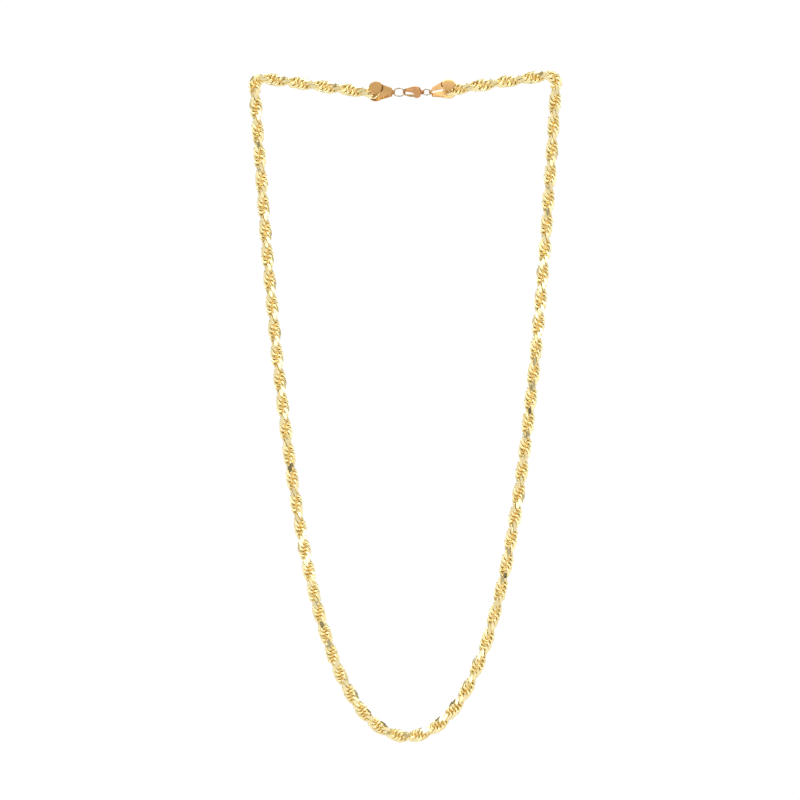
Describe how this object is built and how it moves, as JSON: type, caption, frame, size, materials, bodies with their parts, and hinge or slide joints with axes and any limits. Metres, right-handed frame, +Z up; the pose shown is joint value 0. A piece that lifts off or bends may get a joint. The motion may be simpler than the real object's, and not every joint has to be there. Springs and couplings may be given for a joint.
{
  "type": "rope chain necklace",
  "caption": "Gold rope chain necklace with folded leaf end caps, jump rings and a lobster clasp, held in the long loop of a chain hung from two pegs.",
  "frame": {"origin": "middle between the two hanging points, at the back of the neck that the loop goes round", "axes": "+Z up from the lowest point of the hanging loop to the neck, +X to the right across the loop, and +Y away from a viewer who faces the loop"},
  "size_m": [0.1126, 0.0083, 0.2415],
  "materials": {
    "rope_gold": "polished, diamond-cut yellow gold",
    "cap_gold": "polished warm yellow gold",
    "ring_gold": "bright polished pale gold wire",
    "clasp_gold": "polished warm yellow gold"
  },
  "bodies": {
    "necklace": {"rope_chain": "rope_gold", "end_cap_left": "cap_gold", "end_cap_right": "cap_gold", "jump_ring_left": "ring_gold", "jump_ring_right": "ring_gold", "clasp_body": "clasp_gold"},
    "lever": {"clasp_lever": "clasp_gold"}
  },
  "joints": [
    {"name": "lever_hinge", "type": "hinge", "parent": "necklace", "child": "lever", "pos_m": [0.00441, 0.00109, -0.00331], "axis": [0, 0.6428, 0.766], "range_deg": [0, 22], "stiffness_Nm_per_rad": 0.0002, "springref_deg": -28.65}
  ]
}
